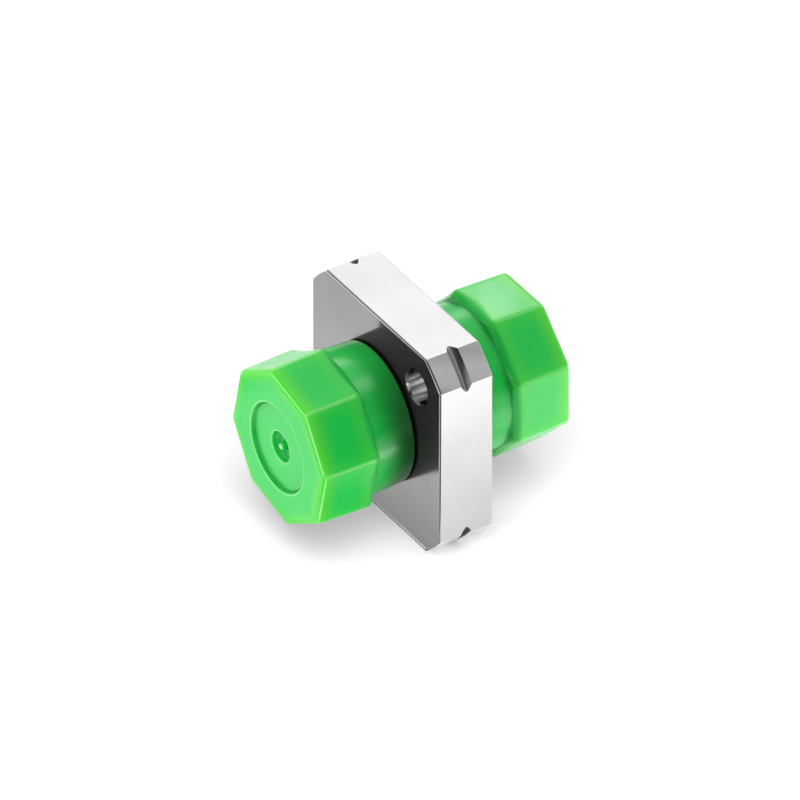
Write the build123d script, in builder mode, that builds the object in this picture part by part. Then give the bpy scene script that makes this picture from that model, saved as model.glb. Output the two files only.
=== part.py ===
# Fibre optic adapter with a solid square flange and two push-on dust caps.
# Millimetres. The adapter's axis lies along Y, the front cap points to -Y, and +Z is up.
# The origin is on the axis, at the middle of the flange, where the two ferrules meet.
import os
from math import hypot

from build123d import *

# Square flange
flange_side = 15.0
flange_thickness = 4.0
corner_leg = 1.7  # how far each turned corner runs along a side
edge_break = 0.12
groove_width = 0.8  # V-groove round the corners
groove_depth = 0.3

# Mounting holes, on one diagonal of the flange
hole_diameter = 2.4
hole_pitch = 13.5
hole_chamfer = 0.12

# Threaded barrels, modelled at the thread's outside diameter
barrel_diameter = 8.0
barrel_length = 6.3  # from the flange's face
barrel_chamfer = 0.35
relief_diameter = 7.0  # run-out groove at the thread's root
relief_width = 0.7
bore_diameter = 5.6
bore_chamfer = 0.2
keyway_width = 2.15
keyway_length = 5.2  # from the barrel's end
web_thickness = 3.2  # wall left between the two bores

# Sleeve holders, one from each side of the web
holder_length = 6.4  # from the web's middle to the tip
holder_wall = 0.45
collar_width = 0.4  # how far the collar stands out from the tube
collar_thickness = 0.6
lip_thickness = 0.6
lip_bore_diameter = 2.9
lip_chamfer = 0.15
tip_chamfer = 0.15
bond_gap = 0.01  # around the holder, in the web's hole

# Split alignment sleeve
ferrule_diameter = 2.5
sleeve_wall = 0.35
sleeve_slit = 0.4
sleeve_side_clearance = 0.05
sleeve_end_play = 0.1

# Dust caps
cap_fit_clearance = 0.05  # between the barrel and the cap's bore
cap_mouth_gap = 0.12  # between the flange and the skirt
cap_floor_gap = 0.15  # between the barrel's end and the cap's floor
cap_end_wall = 1.0
cap_head_length = 4.35
cap_head_width = 10.36  # across the flats
cap_ridge_round = 0.45
cap_rim_round = 0.4
cap_shoulder_round = 0.5  # rim on the flange's side
cap_mouth_wall = 0.75
cap_root_wall = 0.9  # skirt wall where it meets the head
cap_mouth_chamfer = 0.12
cap_lead_in = 0.3
recess_diameter = 6.2
recess_floor_diameter = 5.8
recess_depth = 0.28
dimple_diameter = 2.05
dimple_depth = 0.4
dimple_chamfer = 0.1
gate_diameter = 0.6
gate_height = 0.22
front_cap_turn = 9.5  # degrees, as the caps were pushed on
rear_cap_turn = 22.0

# Sizes that follow from the ones above
half_side = flange_side / 2
half_thickness = flange_thickness / 2
corner_radius = hypot(half_side, half_side - corner_leg)
barrel_end = half_thickness + barrel_length
sleeve_diameter = ferrule_diameter + 2 * sleeve_wall
holder_bore_diameter = sleeve_diameter + 2 * sleeve_side_clearance
holder_diameter = holder_bore_diameter + 2 * holder_wall
collar_diameter = holder_diameter + 2 * collar_width
lip_start = holder_length - lip_thickness
sleeve_length = 2 * (lip_start - sleeve_end_play)
cap_bore_diameter = barrel_diameter + 2 * cap_fit_clearance
cap_mouth = half_thickness + cap_mouth_gap
cap_floor = barrel_end + cap_floor_gap
cap_face = cap_floor + cap_end_wall
cap_head_start = cap_face - cap_head_length

# Each side's plane looks outwards along the axis and keeps +Z up
front_side = Plane.XZ
rear_side = Plane(origin=(0, 0, 0), x_dir=(-1, 0, 0), z_dir=(0, 1, 0))


def outward_axis(side):
    return Axis(side.origin, side.z_dir)


# One-piece body: flange, barrels and web
with BuildPart() as adapter_body:
    with BuildSketch(Plane.XZ):
        Rectangle(flange_side, flange_side)
        Circle(corner_radius, mode=Mode.INTERSECT)
    extrude(amount=half_thickness, both=True)
    face_edges = edges().group_by(Axis.Y)
    chamfer(face_edges[0] + face_edges[-1], edge_break)

    # V-groove, turned round the corners only
    with BuildSketch(Plane.XY):
        with BuildLine():
            groove_run = groove_width / 2 / groove_depth
            groove_top = corner_radius + groove_depth
            Polyline(
                (corner_radius - groove_depth, 0),
                (groove_top, 2 * groove_depth * groove_run),
                (groove_top, -2 * groove_depth * groove_run),
                close=True,
            )
        make_face()
    revolve(axis=Axis.Y, mode=Mode.SUBTRACT)

    # Mounting holes, at the upper right and lower left corners
    hole_offset = hole_pitch / 2 / 2**0.5
    with BuildSketch(Plane.XZ):
        with Locations((hole_offset, hole_offset), (-hole_offset, -hole_offset)):
            Circle(hole_diameter / 2)
    extrude(amount=half_thickness, both=True, mode=Mode.SUBTRACT)
    chamfer(edges().filter_by(GeomType.CIRCLE).filter_by(
        lambda edge: abs(edge.radius - hole_diameter / 2) < 1e-6), hole_chamfer)

    for side in (front_side, rear_side):
        axis = outward_axis(side)
        with BuildSketch(side.offset(half_thickness)):
            Circle(barrel_diameter / 2)
        extrude(amount=barrel_length)
        chamfer(edges(Select.LAST).sort_by(axis)[-1], barrel_chamfer)
        with BuildSketch(side.offset(half_thickness)):
            Circle(barrel_diameter / 2)
            Circle(relief_diameter / 2, mode=Mode.SUBTRACT)
        extrude(amount=relief_width, mode=Mode.SUBTRACT)

        # Bore for the plug's key frame, down to the web
        with BuildSketch(side.offset(barrel_end)):
            Circle(bore_diameter / 2)
        extrude(amount=-(barrel_end - web_thickness / 2), mode=Mode.SUBTRACT)
        mouth = edges(Select.LAST).filter_by(GeomType.CIRCLE).sort_by(axis)[-1]
        chamfer(mouth, bore_chamfer)

        # Keyway, open at the barrel's end
        with BuildSketch(side.offset(barrel_end)):
            Rectangle(keyway_width, barrel_diameter, align=(Align.CENTER, Align.MIN))
        extrude(amount=-keyway_length, mode=Mode.SUBTRACT)

    # Hole in the web for the two sleeve holders
    with BuildSketch(Plane.XZ):
        Circle(holder_diameter / 2 + bond_gap)
    extrude(amount=web_thickness / 2, both=True, mode=Mode.SUBTRACT)


def build_holder(side):
    """Tube with a collar that seats on the web, and a lip that keeps the sleeve in."""
    axis = outward_axis(side)
    with BuildPart() as holder:
        with BuildSketch(side):
            Circle(holder_diameter / 2)
        extrude(amount=holder_length)
        chamfer(edges().sort_by(axis)[-1], tip_chamfer)
        with BuildSketch(side.offset(web_thickness / 2)):
            Circle(collar_diameter / 2)
        extrude(amount=collar_thickness)
        with BuildSketch(side):
            Circle(holder_bore_diameter / 2)
        extrude(amount=lip_start, mode=Mode.SUBTRACT)
        with BuildSketch(side):
            Circle(lip_bore_diameter / 2)
        extrude(amount=holder_length, mode=Mode.SUBTRACT)
        lead_in = edges(Select.LAST).filter_by(GeomType.CIRCLE).sort_by(axis)[-1]
        chamfer(lead_in, lip_chamfer)
    return holder


# Split sleeve that brings the two ferrules into line
with BuildPart() as alignment_sleeve:
    with BuildSketch(Plane.XZ):
        Circle(sleeve_diameter / 2)
        Circle(ferrule_diameter / 2, mode=Mode.SUBTRACT)
        Rectangle(sleeve_slit, sleeve_diameter, align=(Align.CENTER, Align.MIN), mode=Mode.SUBTRACT)
    extrude(amount=sleeve_length / 2, both=True)


def build_cap(side, turn):
    """Moulded cap: octagonal head, drafted round skirt, and a recess with the gate mark."""
    axis = outward_axis(side)
    with BuildPart() as cap:
        # Octagonal head with all its edges rounded
        with BuildSketch(side.offset(cap_head_start)):
            RegularPolygon(cap_head_width / 2, 8, major_radius=False, rotation=turn)
            fillet(vertices(), cap_ridge_round)
        extrude(amount=cap_head_length)
        rims = edges().group_by(axis)
        fillet(rims[0], cap_shoulder_round)
        fillet(edges().group_by(axis)[-1], cap_rim_round)

        # Skirt, a little wider where it meets the head
        with BuildSketch(side.offset(cap_mouth)):
            Circle(cap_bore_diameter / 2 + cap_mouth_wall)
        with BuildSketch(side.offset(cap_head_start + cap_shoulder_round)):
            Circle(cap_bore_diameter / 2 + cap_root_wall)
        loft()
        chamfer(edges().sort_by(axis)[0], cap_mouth_chamfer)

        # Bore that grips the barrel
        with BuildSketch(side.offset(cap_mouth)):
            Circle(cap_bore_diameter / 2)
        extrude(amount=cap_floor - cap_mouth, mode=Mode.SUBTRACT)
        mouth = edges(Select.LAST).filter_by(GeomType.CIRCLE).sort_by(axis)[0]
        chamfer(mouth, cap_lead_in)

        # Shallow recess with a sloped wall
        with BuildSketch(side.offset(cap_face)):
            Circle(recess_diameter / 2)
        with BuildSketch(side.offset(cap_face - recess_depth)):
            Circle(recess_floor_diameter / 2)
        loft(mode=Mode.SUBTRACT)

        # Dimple with the stub of the moulding gate
        with BuildSketch(side.offset(cap_face - recess_depth)):
            Circle(dimple_diameter / 2)
        extrude(amount=-dimple_depth, mode=Mode.SUBTRACT)
        chamfer(edges(Select.LAST).filter_by(GeomType.CIRCLE).sort_by(axis)[-1], dimple_chamfer)
        with BuildSketch(side.offset(cap_face - recess_depth - dimple_depth)):
            Circle(gate_diameter / 2)
        extrude(amount=gate_height)
    return cap


front_sleeve_holder = build_holder(front_side)
rear_sleeve_holder = build_holder(rear_side)
front_dust_cap = build_cap(front_side, front_cap_turn)
rear_dust_cap = build_cap(rear_side, rear_cap_turn)

pieces = {
    "adapter_body": adapter_body,
    "front_sleeve_holder": front_sleeve_holder,
    "rear_sleeve_holder": rear_sleeve_holder,
    "alignment_sleeve": alignment_sleeve,
    "front_dust_cap": front_dust_cap,
    "rear_dust_cap": rear_dust_cap,
}

os.makedirs("parts", exist_ok=True)
for name, piece in pieces.items():
    piece.part.label = name
    export_step(piece.part, f"parts/{name}.step")
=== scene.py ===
# Fibre optic adapter: polished nickel flange with two translucent green dust caps.
from math import acos, atan, atan2, cos, hypot, pi, radians, sin, sqrt, tan

import bpy
from mathutils import Matrix, Vector


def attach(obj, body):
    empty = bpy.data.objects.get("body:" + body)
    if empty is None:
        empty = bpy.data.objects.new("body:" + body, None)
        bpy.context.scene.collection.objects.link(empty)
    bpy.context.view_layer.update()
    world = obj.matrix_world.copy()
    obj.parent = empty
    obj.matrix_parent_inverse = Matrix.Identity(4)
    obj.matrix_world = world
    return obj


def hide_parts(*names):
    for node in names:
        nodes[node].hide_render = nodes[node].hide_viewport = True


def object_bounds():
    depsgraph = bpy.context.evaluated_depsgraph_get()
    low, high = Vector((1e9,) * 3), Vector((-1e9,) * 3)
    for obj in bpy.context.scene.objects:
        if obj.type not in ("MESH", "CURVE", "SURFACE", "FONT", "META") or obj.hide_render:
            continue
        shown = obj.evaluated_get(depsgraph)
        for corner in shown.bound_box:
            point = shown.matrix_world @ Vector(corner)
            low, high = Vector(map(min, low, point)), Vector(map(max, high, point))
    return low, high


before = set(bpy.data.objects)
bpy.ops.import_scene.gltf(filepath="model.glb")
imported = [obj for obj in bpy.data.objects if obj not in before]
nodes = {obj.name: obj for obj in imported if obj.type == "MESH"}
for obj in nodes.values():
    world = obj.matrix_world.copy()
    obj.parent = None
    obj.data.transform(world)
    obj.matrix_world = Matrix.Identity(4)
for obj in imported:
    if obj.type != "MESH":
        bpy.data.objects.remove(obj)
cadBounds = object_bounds()
mm = 0.001
print("frame loaded:", sorted(nodes))


# Small helpers

def lerp(a, b, t):
    return a + (b - a) * t


def clamp(value):
    return max(0, min(1, value))


# count values from start to end, both included.
def steps(start, end, count):
    return [lerp(start, end, i / (count - 1)) for i in range(count)]


# Angles from 0 to a quarter turn, both included.
def arcSteps(count):
    return steps(0, pi / 2, count)


# Camera, from a fit of the flange's and the caps' corners

cameraSet = {
    "azimuth": 57.25,  # degrees round from the front
    "elevation": 36.05,
    "lens": 1000,  # a long lens, because the view is almost parallel
    "sensor": 36,
    "nearest": 0.01,  # metres
    "pixelsPerMm": 15.75,
    "originPixel": (402.4, 400.8),  # where the adapter's centre falls in the frame
    "framePixels": 800,
}


def makeCamera(c):
    a, e = radians(c["azimuth"]), radians(c["elevation"])
    back = Vector((sin(a) * cos(e), -cos(a) * cos(e), sin(e)))
    right = Vector((cos(a), sin(a), 0))
    up = back.cross(right)
    distance = c["framePixels"] * c["lens"] / (c["sensor"] * c["pixelsPerMm"]) * mm
    half = c["framePixels"] / 2
    offX = (half - c["originPixel"][0]) / c["pixelsPerMm"] * mm
    offY = (c["originPixel"][1] - half) / c["pixelsPerMm"] * mm
    target = right * offX + up * offY
    data = bpy.data.cameras.new("photoCamera")
    data.lens = c["lens"]
    data.sensor_width = c["sensor"]
    data.clip_start = c["nearest"]
    camera = bpy.data.objects.new("photoCamera", data)
    turn = Matrix((right, up, back)).transposed()
    camera.matrix_world = Matrix.Translation(target + back * distance) @ turn.to_4x4()
    bpy.context.scene.collection.objects.link(camera)
    bpy.context.scene.camera = camera


makeCamera(cameraSet)


# Mesh helpers

def makeObject(name, verts, faces, material=None):
    mesh = bpy.data.meshes.new(name)
    mesh.from_pydata([Vector(v) * mm for v in verts], [], faces)
    mesh.update()
    obj = bpy.data.objects.new(name, mesh)
    bpy.context.scene.collection.objects.link(obj)
    if material:
        mesh.materials.append(material)
    return obj


# Verts and faces of a skin over rings of equal length. close: 'poles' shuts both ends with a fan,
# 'loop' joins the last ring to the first, and 'caps' shuts each end with one face.
def loftRings(rings, close):
    verts, faces = [], []
    columns = len(rings[0])
    for ring in rings:
        verts.extend(ring)
    rows = len(rings)
    for i in range(rows if close == "loop" else rows - 1):
        a, b = i * columns, (i + 1) % rows * columns
        for j in range(columns):
            k = (j + 1) % columns
            faces.append((a + j, a + k, b + k, b + j))
    last = (rows - 1) * columns
    if close == "caps":
        faces.append(tuple(range(columns - 1, -1, -1)))
        faces.append(tuple(last + j for j in range(columns)))
    if close == "poles":
        for base, flip in ((0, True), (last, False)):
            ring = rings[0 if flip else -1]
            pole = len(verts)
            verts.append(tuple(sum(v[i] for v in ring) / columns for i in range(3)))
            for j in range(columns):
                k = (j + 1) % columns
                faces.append((base + k, base + j, pole) if flip else (base + j, base + k, pole))
    return verts, faces


# The same rings the other way round, for those that run clockwise.
def turnedRings(rings):
    return [ring[::-1] for ring in rings]


# 2-D profile points (r, t, rounding) with each inner corner rounded by an arc.
def roundProfile(points, segments=5):
    out = [points[0][:2]]
    for before, corner, after in zip(points, points[1:], points[2:]):
        p, c, n = Vector(before[:2]), Vector(corner[:2]), Vector(after[:2])
        size = corner[2] if len(corner) > 2 else 0
        if size == 0:
            out.append(tuple(c))
            continue
        d1, d2 = (p - c).normalized(), (n - c).normalized()
        half = acos(max(-1, min(1, d1.dot(d2)))) / 2
        reach = size / tan(half)
        start, end = c + d1 * reach, c + d2 * reach
        middle = c + (d1 + d2).normalized() * (size / sin(half))
        for i in range(segments + 1):
            spoke = (start - middle).lerp(end - middle, i / segments).normalized() * size
            out.append(tuple(middle + spoke))
    out.append(points[-1][:2])
    return out


def smoothByAngle(obj, degrees):
    for face in obj.data.polygons:
        face.use_smooth = True
    obj.data.set_sharp_from_angle(angle=radians(degrees))


# Keeps the big flat faces flat in their shading, beside small rounds.
def evenShading(obj):
    obj.modifiers.new("evenShading", "WEIGHTED_NORMAL").keep_sharp = True


# Boolean of obj with tool, kept in obj's mesh. The tool is deleted.
def cut(obj, tool, operation):
    modifier = obj.modifiers.new("cut", "BOOLEAN")
    modifier.operation = operation
    modifier.solver = "EXACT"
    modifier.object = tool
    graph = bpy.context.evaluated_depsgraph_get()
    fresh = bpy.data.meshes.new_from_object(obj.evaluated_get(graph))
    obj.modifiers.remove(modifier)
    old = obj.data
    obj.data = fresh
    fresh.name = old.name
    bpy.data.meshes.remove(old)
    bpy.data.objects.remove(tool)


# Shader groups shared by the materials

def newGroup(name, inputs, outputs):
    tree = bpy.data.node_groups.new(name, "ShaderNodeTree")
    for label, kind, value in inputs:
        socket = tree.interface.new_socket(name=label, in_out="INPUT", socket_type=kind)
        socket.default_value = value
    for label in outputs:
        tree.interface.new_socket(name=label, in_out="OUTPUT", socket_type="NodeSocketFloat")
    return tree, tree.nodes.new("NodeGroupInput"), tree.nodes.new("NodeGroupOutput")


# New node. settings are its properties. Each keyword is an input, by its name or as i and its number,
# and gives the input's value or a socket to link.
def addNode(tree, kind, settings=None, **links):
    node = tree.nodes.new(kind)
    for key, value in (settings or {}).items():
        setattr(node, key, value)
    for key, value in links.items():
        numbered = key[0] == "i" and key[1:].isdigit()
        socket = node.inputs[int(key[1:]) if numbered else key.replace("_", " ")]
        if isinstance(value, bpy.types.NodeSocket):
            tree.links.new(value, socket)
        else:
            socket.default_value = value
    return node


def mathNode(tree, operation, *values, clamped=False):
    links = {f"i{i}": value for i, value in enumerate(values)}
    settings = {"operation": operation, "use_clamp": clamped}
    return addNode(tree, "ShaderNodeMath", settings, **links).outputs[0]


def mapRange(tree, value, low, high, outLow, outHigh):
    return addNode(tree, "ShaderNodeMapRange", i0=value, i1=low, i2=high, i3=outLow, i4=outHigh).outputs[0]


# Colour that goes from first to second. Each is a fixed colour or a socket.
def mixColour(tree, factor, first, second):
    mix = addNode(tree, "ShaderNodeMix", {"data_type": "RGBA"}, Factor=factor)
    for socket, value in ((mix.inputs[6], first), (mix.inputs[7], second)):
        if isinstance(value, bpy.types.NodeSocket):
            tree.links.new(value, socket)
        else:
            socket.default_value = (*value, 1)
    return mix.outputs[2]


def meshValue(tree, name):
    return addNode(tree, "ShaderNodeAttribute", {"attribute_name": name}).outputs["Fac"]


# Fine machining or polishing lines along one axis, with a slow cloudy change over them.
def makeGrainGroup():
    tree, start, end = newGroup(
        "surfaceGrain",
        [("Vector", "NodeSocketVector", (0, 0, 0)), ("Line Scale", "NodeSocketFloat", 900.0),
         ("Cloud Scale", "NodeSocketFloat", 180.0), ("Stretch", "NodeSocketVector", (0.04, 1, 1))],
        ["Lines", "Clouds"])
    stretched = addNode(tree, "ShaderNodeVectorMath", {"operation": "MULTIPLY"},
                        i0=start.outputs["Vector"], i1=start.outputs["Stretch"])
    lines = addNode(tree, "ShaderNodeTexNoise", Vector=stretched.outputs[0],
                    Scale=start.outputs["Line Scale"], Detail=3.0, Roughness=0.6)
    clouds = addNode(tree, "ShaderNodeTexNoise", Vector=start.outputs["Vector"],
                     Scale=start.outputs["Cloud Scale"], Detail=4.0, Roughness=0.55)
    tree.links.new(lines.outputs[0], end.inputs["Lines"])
    tree.links.new(clouds.outputs[0], end.inputs["Clouds"])
    return tree


# Tiny specks from handling, in patches: a mask that is 1 on a speck.
def makeHandlingGroup():
    tree, start, end = newGroup(
        "handlingMarks",
        [("Vector", "NodeSocketVector", (0, 0, 0)), ("Scale", "NodeSocketFloat", 260.0),
         ("Amount", "NodeSocketFloat", 0.4)],
        ["Marks"])
    vector = start.outputs["Vector"]
    bend = addNode(tree, "ShaderNodeTexNoise", Vector=vector, Scale=90.0, Detail=2.0)
    shift = addNode(tree, "ShaderNodeVectorMath", {"operation": "SCALE"},
                    i0=bend.outputs["Color"], Scale=0.0004)
    place = addNode(tree, "ShaderNodeVectorMath", {"operation": "ADD"}, i0=vector, i1=shift.outputs[0])
    cells = addNode(tree, "ShaderNodeTexVoronoi", Vector=place.outputs[0], Scale=start.outputs["Scale"])
    specks = mapRange(tree, cells.outputs["Distance"], 0.04, 0.16, 1.0, 0.0)
    patch = addNode(tree, "ShaderNodeTexNoise", Vector=vector, Scale=140.0, Detail=3.0)
    patches = mapRange(tree, patch.outputs[0], 0.5, 0.7, 0.0, 1.0)
    marks = mathNode(tree, "MULTIPLY", specks, patches)
    scaled = mathNode(tree, "MULTIPLY", marks, start.outputs["Amount"])
    tree.links.new(scaled, end.inputs["Marks"])
    return tree


grainGroup = makeGrainGroup()
handlingGroup = makeHandlingGroup()
cloudSpan = (0.3, 0.7)  # the part of the clouds' range that roughness follows


def newMaterial(name):
    material = bpy.data.materials.new(name)
    material.use_nodes = True
    tree = material.node_tree
    return material, tree, tree.nodes["Principled BSDF"]


# Both groups in a material, placed on the object: the lines, the clouds and the marks.
def addGrain(tree, m, stretch):
    place = addNode(tree, "ShaderNodeTexCoord").outputs["Object"]
    grain = addNode(tree, "ShaderNodeGroup", {"node_tree": grainGroup}, Vector=place,
                    Line_Scale=m["lineScale"], Cloud_Scale=m["cloudScale"], Stretch=stretch)
    marks = None
    if "markScale" in m:
        marks = addNode(tree, "ShaderNodeGroup", {"node_tree": handlingGroup}, Vector=place,
                        Scale=m["markScale"], Amount=m["marks"]).outputs["Marks"]
    return grain.outputs["Lines"], grain.outputs["Clouds"], marks


nickelSet = {
    "colour": (0.79, 0.79, 0.787),
    "dark": (0.71, 0.71, 0.706),
    "tintSpan": (0.3, 0.75),
    "roughness": (0.10, 0.17),  # between clean and cloudy places
    "lineScale": 5200.0,
    "lineBump": 0.05,
    "cloudScale": 210.0,
    "markScale": 3200.0,
    "marks": 0.35,
    "markRoughness": 0.12,
    "inRecess": 0.06,  # painted shade: share of the colour left at the bottom of the groove and the threads
    "recessRoughness": 0.45,
}
holderSet = dict(nickelSet, colour=(0.72, 0.69, 0.62), roughness=(0.22, 0.34), lineBump=0.12)


def makeNickel(name, n, stretch):
    material, tree, shader = newMaterial(name)
    lines, clouds, marks = addGrain(tree, n, stretch)
    tint = mixColour(tree, mapRange(tree, clouds, *n["tintSpan"], 0.0, 1.0), n["colour"], n["dark"])
    recess = meshValue(tree, "recess")
    # Painted shade: the colour goes dark at the bottom of the groove and the threads
    recessShadeColour = mixColour(tree, recess, tint, tuple(v * n["inRecess"] for v in n["dark"]))
    rough = mapRange(tree, clouds, *cloudSpan, *n["roughness"])
    worn = mathNode(tree, "MULTIPLY_ADD", marks, n["markRoughness"], rough)
    dulled = mathNode(tree, "MULTIPLY_ADD", recess, n["recessRoughness"], worn, clamped=True)
    height = mathNode(tree, "SUBTRACT", lines, marks)
    bump = addNode(tree, "ShaderNodeBump", Strength=n["lineBump"], Distance=0.00001, Height=height)
    shader.inputs["Metallic"].default_value = 1
    tree.links.new(recessShadeColour, shader.inputs["Base Color"])
    tree.links.new(dulled, shader.inputs["Roughness"])
    tree.links.new(bump.outputs[0], shader.inputs["Normal"])
    return material


capSet = {
    "colour": (0.012, 0.70, 0.098),
    "deep": (0.006, 0.56, 0.075),
    "deepSpan": (0.25, 0.75),
    "deepShare": 0.35,
    "glow": (0.12, 0.71, 0.055),  # painted glow: yellower where light would come through near an edge
    "paintedHighlight": (0.52, 0.88, 0.46),  # painted highlight: paler on the lips, ridges and gate tip
    "paintedShade": (0.006, 0.055, 0.006),  # skirt, with the metal close behind it
    # how dark the caps look in the nickel, and to bounced light
    "inMetal": (0.042, 0.044, 0.042),  # painted shade on the skirt over the barrel, the rear shoulder and the recess wall
    "roughness": (0.19, 0.27),
    "lineScale": 1500.0,
    "lineBump": 0.06,
    "cloudScale": 150.0,
    "markScale": 2400.0,
    "marks": 0.12,
    "markRoughness": 0.3,
    "scatter": 0.0012,
    "scatterColours": (0.35, 1.0, 0.3),
}


def makeCapPlastic(name, c):
    material, tree, shader = newMaterial(name)
    lines, clouds, marks = addGrain(tree, c, (1, 1, 1))
    deep = mapRange(tree, clouds, *c["deepSpan"], 0.0, c["deepShare"])
    plain = mixColour(tree, deep, c["colour"], c["deep"])
    # Painted glow near the head's edges, where light would shine through
    lit = mixColour(tree, meshValue(tree, "paintedGlow"), plain, c["glow"])
    # Painted highlights on the lips, ridges and gate mark
    pale = mixColour(tree, meshValue(tree, "paintedHighlight"), lit, c["paintedHighlight"])
    # Painted shade on the skirt, the rear shoulder and the wall of the recess
    dark = mixColour(tree, meshValue(tree, "paintedShade"), pale, c["paintedShade"])
    # Mirrored and bounced rays find the caps dark and dull, so the metal beside them stays neutral
    ray = addNode(tree, "ShaderNodeLightPath")
    bounced = mathNode(tree, "MAXIMUM", ray.outputs["Is Diffuse Ray"], ray.outputs["Is Glossy Ray"])
    seen = mixColour(tree, bounced, dark, c["inMetal"])
    rough = mapRange(tree, clouds, *cloudSpan, *c["roughness"])
    worn = mathNode(tree, "MULTIPLY_ADD", marks, c["markRoughness"], rough)
    dull = mathNode(tree, "MAXIMUM", ray.outputs["Is Glossy Ray"], worn)
    bump = addNode(tree, "ShaderNodeBump", Strength=c["lineBump"], Distance=0.00002, Height=lines)
    tree.links.new(seen, shader.inputs["Base Color"])
    tree.links.new(dull, shader.inputs["Roughness"])
    tree.links.new(bump.outputs[0], shader.inputs["Normal"])
    shader.inputs["IOR"].default_value = 1.5
    shader.inputs["Subsurface Weight"].default_value = 1
    shader.inputs["Subsurface Scale"].default_value = c["scatter"]
    shader.inputs["Subsurface Radius"].default_value = c["scatterColours"]
    return material


sleeveSet = {
    "colour": (0.86, 0.84, 0.78),
    "warm": (0.80, 0.77, 0.70),
    "roughness": (0.18, 0.3),
    "lineScale": 2600.0,
    "lineBump": 0.08,
    "cloudScale": 400.0,
    "scatterShare": 0.4,
    "scatter": 0.0003,
}


def makeZirconia(name, c, stretch):
    material, tree, shader = newMaterial(name)
    lines, clouds, _ = addGrain(tree, c, stretch)
    tint = mixColour(tree, clouds, c["colour"], c["warm"])
    rough = mapRange(tree, clouds, *cloudSpan, *c["roughness"])
    bump = addNode(tree, "ShaderNodeBump", Strength=c["lineBump"], Distance=0.00001, Height=lines)
    tree.links.new(tint, shader.inputs["Base Color"])
    tree.links.new(rough, shader.inputs["Roughness"])
    tree.links.new(bump.outputs[0], shader.inputs["Normal"])
    shader.inputs["Subsurface Weight"].default_value = c["scatterShare"]
    shader.inputs["Subsurface Scale"].default_value = c["scatter"]
    return material


alongX, alongY = (0.05, 1, 1), (1, 0.05, 1)  # the way that the fine lines run
nickel = makeNickel("polishedNickel", nickelSet, alongX)
holderNickel = makeNickel("turnedHolder", holderSet, alongY)
capPlastic = makeCapPlastic("translucentGreen", capSet)
zirconia = makeZirconia("groundZirconia", sleeveSet, alongY)
print("materials made")


# Adapter body: square flange with turned corners, two threaded barrels

bodySet = {
    "side": 15.0,
    "thickness": 4.0,
    "cornerLeg": 1.7,
    "cornerSegments": 12,
    "edgeRound": 0.16,
    "edgeRows": 5,
    "grooveWidth": 0.8,
    "grooveDepth": 0.3,
    "grooveCurve": 1.6,  # 1 is a sharp V, more is rounder at the bottom
    "grooveRows": 9,
    "holeRadius": 1.2,
    "holePitch": 13.5,
    "holeChamfer": 0.12,
    "holeColumns": 64,
    "barrelRadius": 4.0,
    "barrelEnd": 8.3,
    "endChamfer": 0.35,
    "reliefRadius": 3.5,
    "reliefWidth": 0.7,
    "threadPitch": 0.75,
    "threadDepth": 0.43,
    "threadCrest": 0.125,  # shares of half a pitch
    "threadFlank": 0.72,
    "threadStart": 1.6,  # how steeply the thread rises out of the relief groove
    "rowsPerPitch": 14,
    "columns": 96,
    "boreRadius": 2.8,
    "boreChamfer": 0.2,
    "web": 1.6,  # half the web's thickness
    "webHoleRadius": 2.11,
    "keyWidth": 2.15,
    "keyLength": 5.2,
    "keyBottom": 1.5,
    "smoothAngle": 26,
    "litGrooveShade": 0.38,  # painted shade at the bottom of the groove: at the upper right corner, which faces the light, and at the others
    "darkGrooveShade": 3.0,
    "threadShade": 0.7,
}
toolOver = 1  # how far the cutting tools stand out past the metal


# Outline of the square with turned corners at one y, as a ring of points.
def flangeRing(b, y, inset, depth):
    half = b["side"] / 2
    radius = sqrt(half**2 + (half - b["cornerLeg"])**2) - depth
    half, radius = half - inset, radius - inset
    edge = acos(half / radius)
    ring = []
    for quarter in range(4):
        for angle in steps(edge, pi / 2 - edge, b["cornerSegments"] + 1):
            a = quarter * pi / 2 + angle
            ring.append((radius * cos(a), y, radius * sin(a)))
    return ring


def makeFlange(b):
    half, soft, groove = b["thickness"] / 2, b["edgeRound"], b["grooveWidth"] / 2
    rows = [(-half + soft * (1 - cos(a)), soft * (1 - sin(a)), 0) for a in arcSteps(b["edgeRows"])]
    for y in steps(-groove, 0, b["grooveRows"]):
        rows.append((y, 0, b["grooveDepth"] * (1 - (-y / groove) ** b["grooveCurve"])))
    rings = [flangeRing(b, y, inset, depth) for y, inset, depth in rows]
    rings += [flangeRing(b, -y, inset, depth) for y, inset, depth in reversed(rows[:-1])]
    return makeObject("bodyMetal", *loftRings(turnedRings(rings), "caps"), nickel)


def latheRings(profile, columns):
    turns = [2 * pi * j / columns for j in range(columns)]
    return [[(r * cos(a), t, r * sin(a)) for a in turns] for r, t in profile]


# Barrel's outside radius at an angle and a distance t out from the flange's middle.
def threadRadius(b, angle, t):
    start = b["thickness"] / 2 + b["reliefWidth"]
    wave = abs(2 * ((t / b["threadPitch"] - angle / (2 * pi)) % 1) - 1)
    cutIn = b["threadDepth"] * min(1, max(0, (wave - b["threadCrest"]) / b["threadFlank"]))
    return min(b["barrelRadius"] - cutIn,
               b["barrelRadius"] - b["endChamfer"] + (b["barrelEnd"] - t),
               b["reliefRadius"] + b["threadStart"] * max(0, t - start))


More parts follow.
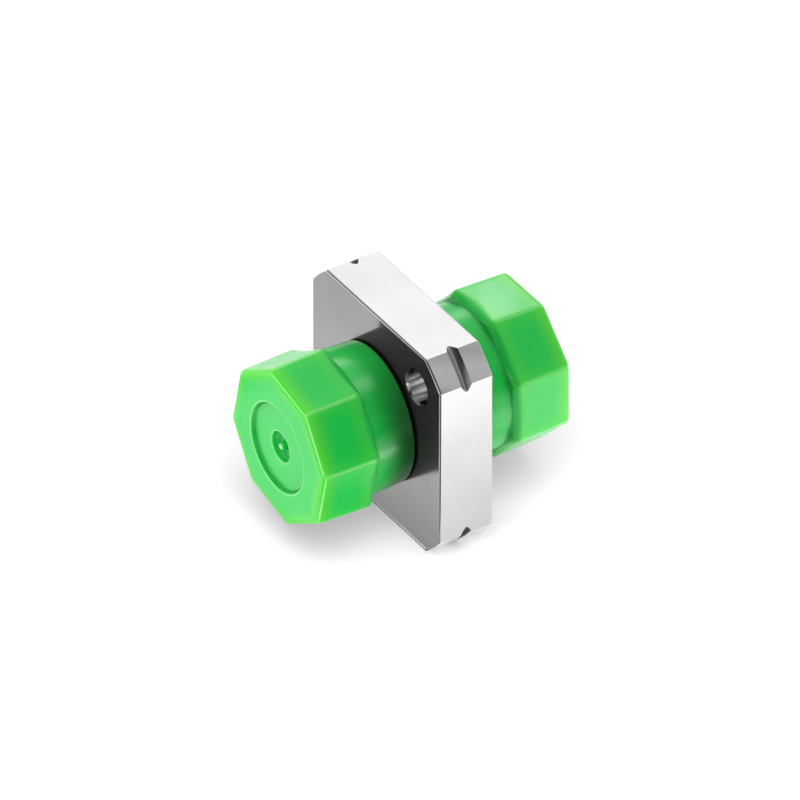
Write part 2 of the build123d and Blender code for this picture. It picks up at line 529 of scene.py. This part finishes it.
# One tube through the flange: threads outside, stepped bore inside.
def makeBarrels(b):
    start, end = b["thickness"] / 2 + b["reliefWidth"], b["barrelEnd"]
    count = int((end - start) / b["threadPitch"] * b["rowsPerPitch"])
    heights = [0.0, start - 0.02] + steps(start, end, count)
    columns = b["columns"]
    rings = []
    for t in [-h for h in reversed(heights)] + heights[1:]:
        ring = []
        for j in range(columns):
            a = 2 * pi * j / columns
            local = a if t < 0 else pi - a
            r = threadRadius(b, local, abs(t)) if abs(t) >= start else b["reliefRadius"]
            ring.append((r * cos(a), t, r * sin(a)))
        rings.append(ring)
    inner = [(b["boreRadius"] + b["boreChamfer"], end), (b["boreRadius"], end - b["boreChamfer"]),
             (b["boreRadius"], b["web"]), (b["webHoleRadius"], b["web"])]
    rings += latheRings(inner + [(r, -t) for r, t in reversed(inner)], columns)
    return makeObject("barrels", *loftRings(turnedRings(rings), "loop"))


def makeHoleTool(b, x, z):
    half, r, c = b["thickness"] / 2, b["holeRadius"], b["holeChamfer"]
    over = 0.3
    profile = [(r + c + over, -half - over), (r, -half + c), (r, half - c), (r + c + over, half + over)]
    rings = latheRings(profile, b["holeColumns"])
    rings = [[(x + px, py, z + pz) for px, py, pz in ring] for ring in rings]
    return makeObject("holeTool", *loftRings(turnedRings(rings), "caps"))


def makeBox(name, low, high):
    verts = [(x, y, z) for x in (low[0], high[0]) for y in (low[1], high[1]) for z in (low[2], high[2])]
    faces = [(0, 1, 3, 2), (4, 6, 7, 5), (0, 4, 5, 1), (2, 3, 7, 6), (0, 2, 6, 4), (1, 5, 7, 3)]
    return makeObject(name, verts, faces)


# Painted shade: a value that is high at the bottom of the groove and of the threads, which darkens the
# colour there and also dulls it. The upper right corner, which faces the light, gets less painted shade than
# the others.
def markRecesses(obj, b):
    mesh = obj.data
    layer = mesh.attributes.new("recess", "FLOAT", "CORNER")
    corner = hypot(b["side"] / 2, b["side"] / 2 - b["cornerLeg"])
    near = 0.05
    for face in mesh.polygons:
        x, y, z = face.center / mm
        fromAxis = hypot(x, z)
        onCorner = max(abs(x), abs(z)) < b["side"] / 2 - 0.002
        inGroove = abs(y) < b["grooveWidth"] / 2 and onCorner and fromAxis > corner - b["grooveDepth"] - near
        onThread = b["thickness"] / 2 + near < abs(y) and fromAxis > b["reliefRadius"] - near
        shadeShare = b["litGrooveShade"] if x > 0 and z > 0 else b["darkGrooveShade"]
        for loop in face.loop_indices:
            place = mesh.vertices[mesh.loops[loop].vertex_index].co / mm
            r = hypot(place.x, place.z)
            if inGroove:
                layer.data[loop].value = clamp(shadeShare * (corner - r) / b["grooveDepth"])
            elif onThread:
                layer.data[loop].value = b["threadShade"] * clamp((b["barrelRadius"] - r) / b["threadDepth"])


def makeBody(b):
    metal = makeFlange(b)
    half = b["thickness"] / 2
    middle = (b["boreRadius"] + b["reliefRadius"]) / 2
    opening = latheRings([(middle, -half - toolOver), (middle, half + toolOver)], b["columns"])
    cut(metal, makeObject("opening", *loftRings(turnedRings(opening), "caps")), "DIFFERENCE")
    reach = b["holePitch"] / 2 / sqrt(2)
    for side in (1, -1):
        cut(metal, makeHoleTool(b, side * reach, side * reach), "DIFFERENCE")
    cut(metal, makeBarrels(b), "UNION")
    width, end, top = b["keyWidth"] / 2, b["barrelEnd"], b["barrelRadius"] + toolOver
    for side in (-1, 1):
        low, high = sorted((side * (end - b["keyLength"]), side * (end + toolOver)))
        keyway = makeBox("keyTool", (-width, low, b["keyBottom"]), (width, high, top))
        cut(metal, keyway, "DIFFERENCE")
    smoothByAngle(metal, b["smoothAngle"])
    evenShading(metal)
    markRecesses(metal, b)
    return metal


body = makeBody(bodySet)
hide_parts("adapter_body")
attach(body, "adapter")
print("body made:", len(body.data.polygons), "faces")


# Dust caps: octagonal head that flows into a round skirt

capShape = {
    "mouth": 2.12,  # skirt's end, from the adapter's middle
    "face": 9.45,
    "headLength": 4.35,
    "apothem": (5.17, 5.29),  # at the face, and at the shoulder
    "ridgeRound": 0.5,
    "ridgeAngle": 4.4,  # degrees to each side of a ridge that take the closest columns
    "ridgeColumns": 15,
    "flatColumns": 14,
    "rimRound": 0.45,
    "rimRows": 12,
    "sideRows": 18,
    "shoulderRound": 0.5,
    "shoulderLength": (0.5, 0.95),  # at a ridge, and at the middle of a flat
    "shoulderRows": 26,
    "blend": 0.3,  # softness where the head grows out of the skirt
    "mouthRadius": 4.8,
    "mouthRound": 0.12,
    "rootRadius": 4.95,
    "rootLength": 0.25,  # the skirt's last stretch, where the head starts to swell
    "rootRows": 8,
    "skirtRows": 7,
    "boreRadius": 4.05,
    "leadIn": 0.3,
    "floor": 8.45,
    "floorRound": 0.35,
    "faceRows": 8,
    "recessRadius": 3.1,
    "recessFloorRadius": 2.93,
    "recessDepth": 0.28,
    "lipRound": 0.12,
    "dimpleRadius": 1.03,
    "dimpleDepth": 0.4,
    "dimpleRound": 0.22,
    "gateRadius": 0.3,
    "gateHeight": 0.42,
    "gateRound": 0.2,
}
# skirtShade and shoulderShade set how much painted shade each cap's skirt and shoulder get
capSides = {
    "front": {"turn": 9.5, "skirtShade": 0.9, "shoulderShade": 0.05},  # degrees, as the caps were pushed on
    "rear": {"turn": 22.0, "skirtShade": 0.25, "shoulderShade": 0.25},
}
octant = pi / 4
poleRadius = 0.02


# Each cap is made in its own side's frame: u across, v up, t outwards along the axis
def placeFront(u, v, t):
    return (u, -t, v)


def placeRear(u, v, t):
    return (-u, t, v)


# Angle from the nearest corner of the octagon.
def fromCorner(angle):
    return abs((angle + octant / 2) % octant - octant / 2)


# Distance from the axis to an octagon with rounded corners. angle is from a corner.
def octagonRadius(angle, apothem, rounding):
    off = fromCorner(angle)
    fromFlat = octant / 2 - off
    straight = (apothem - rounding) * tan(octant / 2)
    if fromFlat <= atan(straight / apothem):
        return apothem / cos(fromFlat)
    centre = (apothem - rounding) / cos(octant / 2)
    return centre * cos(off) + sqrt(max(0, rounding**2 - (centre * sin(off))**2))


# Angles round the cap from a corner: close together at the corners, even between them.
def capAngles(c):
    corner = radians(c["ridgeAngle"])
    near = steps(-corner, corner, c["ridgeColumns"])
    between = steps(corner, octant - corner, c["flatColumns"])[1:-1]
    return [k * octant + a for k in range(8) for a in near + between]


def softMax(a, b, size):
    h = max(size - abs(a - b), 0) / size
    return max(a, b) + h * h * size / 4


# Head's radius at a height t. inset is how far a rim's round has drawn it in, and the ridges get
# softer with it on the shoulder and crisper on the face.
def headRadius(c, angle, inset, t):
    down = min(1, (c["face"] - t) / c["headLength"])
    ridge = c["ridgeRound"] + (0.8 if down > 0.5 else -0.5) * inset
    return octagonRadius(angle, lerp(*c["apothem"], down) - inset, max(0.15, ridge))


# Head's radius on the shoulder, which is an ellipse's quarter from the skirt up to the flats
def shoulderRadius(c, angle, t):
    off = fromCorner(angle) / (octant / 2)
    length = lerp(*c["shoulderLength"], off * off * (3 - 2 * off))
    left = max(0, 1 - max(0, t - c["face"] + c["headLength"]) / length)
    return headRadius(c, angle, c["shoulderRound"] * (1 - sqrt(1 - left * left)), t)


# All rings of one cap, from the middle of the bore's floor round to the gate mark.
def capRings(c, turn, place):
    angles = capAngles(c)
    start = c["face"] - c["headLength"]

    def ring(t, radius):
        out = []
        for a in angles:
            r = radius(a) if callable(radius) else radius
            out.append(place(r * cos(a + turn), r * sin(a + turn), t))
        return out

    def skirt(t):
        return lerp(c["mouthRadius"], c["rootRadius"], (t - c["mouth"]) / (start - c["mouth"]))

    inside = [
        (poleRadius, c["floor"]),
        (c["boreRadius"], c["floor"], c["floorRound"]),
        (c["boreRadius"], c["mouth"] + c["leadIn"], 0.05),
        (c["boreRadius"] + c["leadIn"], c["mouth"], 0.05),
        (c["mouthRadius"], c["mouth"], c["mouthRound"]),
        (skirt(c["mouth"] + 0.5), c["mouth"] + 0.5),
    ]
    rings = [ring(t, r) for r, t in roundProfile(inside)]
    rings += [ring(t, skirt(t)) for t in steps(c["mouth"] + 0.8, start - 0.3, c["skirtRows"])]
    # Skirt's root, where the head starts to swell
    for t in steps(start - c["rootLength"], start, c["rootRows"])[:-1]:
        lag = 6 * (start - t)
        rings.append(ring(t, lambda a: softMax(
            skirt(t), headRadius(c, a, c["shoulderRound"], t) - lag, c["blend"])))
    # Shoulder
    for q in arcSteps(c["shoulderRows"]):
        t = start + c["shoulderLength"][1] * (1 - cos(q))
        rings.append(ring(t, lambda a: softMax(
            c["rootRadius"], shoulderRadius(c, a, t), c["blend"] * cos(q) + 0.01)))
    # Drafted sides, with close rows at both ends to hold the rounds, and the rim of the face
    low, high = start + c["shoulderLength"][1], c["face"] - c["rimRound"]
    sides = [low + 0.04] + steps(low + 0.16, high - 0.16, c["sideRows"]) + [high - 0.04]
    rings += [ring(t, lambda a: headRadius(c, a, 0, t)) for t in sides]
    for q in arcSteps(c["rimRows"]):
        inset = c["rimRound"] * (1 - cos(q))
        t = high + c["rimRound"] * sin(q)
        rings.append(ring(t, lambda a: headRadius(c, a, inset, t)))
    # Flat face, from the octagon in to the recess
    outer, inner = c["rimRound"], c["recessRadius"] + 0.14
    for w in [0.03] + steps(0.12, 1, c["faceRows"]):
        rings.append(ring(c["face"], lambda a: lerp(headRadius(c, a, outer, c["face"]), inner, w)))
    floor = c["face"] - c["recessDepth"]
    bottom = floor - c["dimpleDepth"]
    top = bottom + c["gateHeight"]
    middle = [
        (inner, c["face"]),
        (c["recessRadius"], c["face"], c["lipRound"]),
        (c["recessFloorRadius"], floor, 0.1),
        (c["dimpleRadius"] + 0.24, floor),
        (c["dimpleRadius"] + 0.02, floor, 0.09),
        (c["dimpleRadius"] - 0.06, bottom, c["dimpleRound"]),
        (c["gateRadius"] + 0.02, bottom, 0.05),
        (c["gateRadius"] - 0.04, top, c["gateRound"]),
        (poleRadius, top + 0.01),
    ]
    rings += [ring(t, r) for r, t in roundProfile(middle)[1:]]
    return rings


# 1 up to near, 0 from far on, with a soft change between
def fadeOut(value, near, far):
    t = clamp((far - value) / (far - near))
    return t * t * (3 - 2 * t)


# How strong each painted glow, painted shade and painted highlight on a cap is, from 0 to 1, and how far it
# reaches in mm
capMarks = {
    "rim": 0.85,  # painted glow through the edge of the face
    "rimReach": (1.15, 1.5),  # in from the side, and down from the face
    "back": 0.28,  # painted glow through the shoulder
    "ridge": 0.25,  # painted glow through the ridges
    "ridgeReach": 1.1,
    "skirtTop": 0.6,  # how much less painted shade the skirt gets where it faces up
    "skirtTopCurve": 2.5,
    "wall": 0.3,  # shade on the wall of the recess
    "wallRadius": 2.99,
    "lip": 0.42,  # painted highlight on the lip of the recess
    "dimple": 0.3,  # painted highlight on the lip of the dimple
    "lipReach": (0.02, 0.07),
    "levelReach": (0.02, 0.06),
    "crest": 0.3,  # painted highlights on the ridges
    "gate": 0.95,  # painted highlight on the top of the gate mark
}


capValues = ("paintedGlow", "paintedShade", "paintedHighlight")


# Three values on a cap's vertices. paintedGlow is a painted glow where light shines through near the head's
# edges, paintedShade a painted shade on the skirt, shoulder and recess wall, and paintedHighlight a painted
# highlight on the lips, ridges and gate mark.
def markCap(obj, c, m, side, place):
    for label in capValues:
        obj.data.attributes.new(label, "FLOAT", "POINT")
    paintedGlow, paintedShade, paintedHighlight = (obj.data.attributes[label].data for label in capValues)
    front = place(0, 0, 1)[1]
    start = c["face"] - c["headLength"]
    for i, vertex in enumerate(obj.data.vertices):
        x, y, z = vertex.co / mm
        t, r = y * front, sqrt(x * x + z * z)
        angle = atan2(z, x * (1 if front < 0 else -1)) - radians(side["turn"])
        off = fromCorner(angle)
        edge = headRadius(c, angle, 0, t)
        fromSide, fromFace, fromBack = edge - r, c["face"] - t, t - start

        rim = m["rim"] * fadeOut(fromSide, 0.1, m["rimReach"][0]) * fadeOut(fromFace, 0.25, m["rimReach"][1])
        back = m["back"] * fadeOut(abs(fromBack - 0.85), 0.1, 0.7) * fadeOut(fromSide, 0.4, 1.0)
        onRidge = 1 if fromSide < 0.35 and fromBack > 0 else 0
        ridge = m["ridge"] * fadeOut(off * r, 0.0, m["ridgeReach"]) * onRidge
        paintedGlow[i].value = 1 - (1 - rim) * (1 - back) * (1 - ridge)

        # Painted shade: the skirt is darker towards the flange and on its lower side; the rear shoulder and
        # the recess wall are darkened
        lit = m["skirtTop"] * max(0, z / r) ** m["skirtTopCurve"] if r > 0.1 else 0
        skirt = side["skirtShade"] * (1 - lit) * fadeOut(t, c["mouth"] + 0.4, start + 0.2)
        shoulder = side["shoulderShade"] * fadeOut(abs(fromBack - 0.1), 0.15, 0.6)
        wall = m["wall"] if abs(r - m["wallRadius"]) < 0.1 and 0.04 < fromFace < 0.27 else 0
        paintedShade[i].value = max(skirt, shoulder, wall)

        # Painted highlights: thin pale lines on the lips, the ridges and the top of the gate mark
        lip = m["lip"] * fadeOut(abs(r - c["recessRadius"] - 0.05), *m["lipReach"])
        lip *= fadeOut(fromFace, *m["levelReach"])
        dimple = m["dimple"] * fadeOut(abs(r - c["dimpleRadius"] - 0.06), *m["lipReach"])
        dimple *= fadeOut(abs(fromFace - c["recessDepth"]), *m["levelReach"])
        crest = m["crest"] * fadeOut(off * r, 0.03, 0.16) * fadeOut(fromSide, 0.1, 0.25)
        gate = m["gate"] * fadeOut(r, 0.1, 0.24) * fadeOut(fromFace, 0.3, 0.42)
        paintedHighlight[i].value = max(lip, dimple, crest if fromBack > 0.5 else 0, gate)


def makeCap(name, node, bodyName, side, place):
    rings = capRings(capShape, radians(side["turn"]), place)
    cap = makeObject(name, *loftRings(rings, "poles"), capPlastic)
    smoothByAngle(cap, 60)
    markCap(cap, capShape, capMarks, side, place)
    evenShading(cap)
    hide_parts(node)
    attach(cap, bodyName)
    return cap


frontCap = makeCap("frontCap", "front_dust_cap", "front_cap", capSides["front"], placeFront)
rearCap = makeCap("rearCap", "rear_dust_cap", "rear_cap", capSides["rear"], placeRear)
print("caps made:", len(frontCap.data.polygons), "faces each")


# Pieces that keep their solids: sleeve and its holders

for name, material in (("front_sleeve_holder", holderNickel), ("rear_sleeve_holder", holderNickel),
                       ("alignment_sleeve", zirconia)):
    nodes[name].data.materials.clear()
    nodes[name].data.materials.append(material)
print("inner pieces finished")


# Floor, air, lights and reflection cards

studio = {
    "floorColour": (0.86, 0.86, 0.86),
    "floorGlow": 0.23,  # lifts the shadows, as a lit white table does
    "floorRoughness": 0.7,
    "floorShine": 0.1,
    "floorSize": 900,
    "skyFrom": (-0.6, 0.45, 0.66),  # the way that skyShades are counted from
    "skyShades": (  # cosine to skyFrom, and brightness
        (-0.52, 0.95), (-0.4, 0.7), (-0.32, 0.04), (-0.1, 0.10), (0.09, 0.50),
        (0.3, 0.54), (0.46, 0.40), (0.62, 0.52), (0.85, 0.86), (1, 0.93)),
    "skyFrontShade": 0.4,  # share of the air's light left on the front side
    "skyFrontSpan": (-0.4, 0.1),
    "airLight": 0.55,  # even light from all round on dull surfaces
    "overhead": 2.85,  # the lights' own brightness, not their power
    "frontFill": 2.8,
    "capTop": 1.3,
    "capRight": 1.05,
    "capRim": 30.0,
    "capFront": 12.0,
    "capRidge": 2.5,
    "capSkirt": 5.0,
    "capFoot": 5.0,
    "capSheen": 2.2,
    "capSpot": 3.7,
    "flangeTop": 0.25,
}


def makeFloor(s):
    half, z = s["floorSize"] / 2, cadBounds[0][2] / mm
    verts = [(-half, -half, z), (half, -half, z), (half, half, z), (-half, half, z)]
    material, _, shader = newMaterial("paleFloor")
    shader.inputs["Base Color"].default_value = (*s["floorColour"], 1)
    shader.inputs["Roughness"].default_value = s["floorRoughness"]
    shader.inputs["Specular IOR Level"].default_value = s["floorShine"]
    shader.inputs["Emission Color"].default_value = (1, 1, 1, 1)
    shader.inputs["Emission Strength"].default_value = s["floorGlow"]
    floor = makeObject("floor", verts, [(0, 1, 2, 3)], material)


# World with soft bands of light for the mirrored rays, and even light for the dull ones
def makeAir(s):
    world = bpy.data.worlds.new("studioAir")
    bpy.context.scene.world = world
    world.use_nodes = True
    tree = world.node_tree
    way = addNode(tree, "ShaderNodeTexCoord").outputs["Generated"]
    side = addNode(tree, "ShaderNodeVectorMath", {"operation": "DOT_PRODUCT"}, i0=way, i1=s["skyFrom"])
    half = mathNode(tree, "MULTIPLY_ADD", side.outputs["Value"], 0.5, 0.5)
    ramp = addNode(tree, "ShaderNodeValToRGB", Fac=half)
    stops = ramp.color_ramp.elements
    while len(stops) < len(s["skyShades"]):
        stops.new(0.5)
    for stop, (cosine, shade) in zip(stops, s["skyShades"]):
        stop.position = (cosine + 1) / 2
        stop.color = (shade, shade, shade, 1)
    depth = addNode(tree, "ShaderNodeSeparateXYZ", i0=way).outputs["Y"]
    fade = mapRange(tree, depth, *s["skyFrontSpan"], s["skyFrontShade"], 1)
    faded = addNode(tree, "ShaderNodeVectorMath", {"operation": "SCALE"},
                    i0=ramp.outputs["Color"], Scale=fade)
    dull = addNode(tree, "ShaderNodeLightPath").outputs["Is Diffuse Ray"]
    seen = mixColour(tree, dull, faded.outputs[0], (s["airLight"],) * 3)
    tree.links.new(seen, tree.nodes["Background"].inputs["Color"])


# Soft area light. Places and sizes in mm; brightness is what a mirror would show. only or but keeps it
# to some pieces or off them.
def makeLight(name, place, size, target=(0, 0, 0), only=(), but=(), mirrored=True, diffuse=True):
    data = bpy.data.lights.new(name, "AREA")
    data.shape = "RECTANGLE"
    data.size, data.size_y = size[0] * mm, size[1] * mm
    data.energy = studio[name] * pi * data.size * data.size_y
    light = bpy.data.objects.new(name, data)
    spot, aim = Vector(place) * mm, Vector(target) * mm
    light.location = spot
    light.rotation_euler = (aim - spot).to_track_quat("-Z", "Y").to_euler()
    light.visible_glossy = mirrored
    light.visible_diffuse = diffuse
    light.visible_camera = False
    bpy.context.scene.collection.objects.link(light)
    if only or but:
        group = bpy.data.collections.new(name + "Pieces")
        for piece in only or but:
            group.objects.link(piece)
        for entry in group.collection_objects:
            entry.light_linking.link_state = "INCLUDE" if only else "EXCLUDE"
        light.light_linking.receiver_collection = group


# Card that only shiny surfaces see. Its brightness goes through shades from corner along across.
def makeCard(name, corner, across, along, shades):
    material = bpy.data.materials.new(name)
    material.use_nodes = True
    tree = material.node_tree
    tree.nodes.clear()
    emit = addNode(tree, "ShaderNodeEmission", Strength=meshValue(tree, "shade"))
    out = addNode(tree, "ShaderNodeOutputMaterial")
    tree.links.new(emit.outputs[0], out.inputs["Surface"])
    corner, across, along = Vector(corner), Vector(across), Vector(along)
    last = len(shades) - 1
    verts = [corner + across * (i / last) + along * j for i in range(last + 1) for j in (0, 1)]
    faces = [(2 * i, 2 * i + 2, 2 * i + 3, 2 * i + 1) for i in range(last)]
    card = makeObject(name, verts, faces, material)
    layer = card.data.attributes.new("shade", "FLOAT", "POINT")
    for i, item in enumerate(layer.data):
        item.value = shades[i // 2]
    card.visible_camera = False
    card.visible_diffuse = False
    card.visible_shadow = False
    card.visible_transmission = False


makeFloor(studio)
makeAir(studio)
bpy.context.scene.view_settings.view_transform = "Standard"

caps, front, rear = (frontCap, rearCap), (frontCap,), (rearCap,)
makeLight("overhead", (150, -80, 235), (320, 320), but=caps, mirrored=False)
makeLight("capTop", (-130, -50, 280), (300, 300), only=caps, mirrored=False)
makeLight("frontFill", (-110, -230, 120), (160, 120), only=caps, mirrored=False)
makeLight("capRight", (15, 14, -7.4), (13, 15), target=(15, 14, 0), only=caps)
makeLight("capRim", (110, -225, 35), (40, 30), only=caps, diffuse=False)
makeLight("capFront", (-60, -240, 110), (200, 40), only=caps, diffuse=False)
makeLight("capRidge", (25, 128, 262), (120, 60), only=front, diffuse=False)
makeLight("capFoot", (9, -11, -7.4), (5, 2.5), target=(9, -11, 0), only=front, diffuse=False)
makeLight("capSheen", (-136, 87, 118), (70, 60), only=caps, diffuse=False)
makeLight("capSpot", (-7.5, 12.3, 11.4), (2.6, 2), target=(0, 7.4, 5.2), only=rear, diffuse=False)
makeLight("capSkirt", (21, 5, -7.4), (9, 7), target=(21, 5, 0), only=front, diffuse=False)
makeLight("flangeTop", (-22, 17.5, 31), (18, 18), target=(4, 0, 7.5), only=(body,))

# The cards lie just over the floor, in the flange's mirror: under its front face, its edge and its sides
makeCard("frontCard", (-60, -11, -7.45), (0, 8.8, 0), (68, 0, 0), (0.51, 0.55, 0.53, 0.46, 0.40, 0.33))
makeCard("edgeCard", (-60, -2.12, -7.46), (0, 0.22, 0), (68, 0, 0), (0.12, 0.08))
makeCard("footCard", (6.5, -80, -7.45), (0, 76.8, 0), (90, 0, 0), (0.25, 0.2, 0.15, 0.12))
makeCard("cornerCard", (-60, -24, -7.45), (0, 13, 0), (45, 0, 0), (0.45, 0.46, 0.47, 0.50))
makeCard("rightCard", (8.2, -5, -7.45), (24, 0, 0), (0, 16, 0), (0.80, 1.0, 1.25, 1.32, 1.35))
print("studio made")
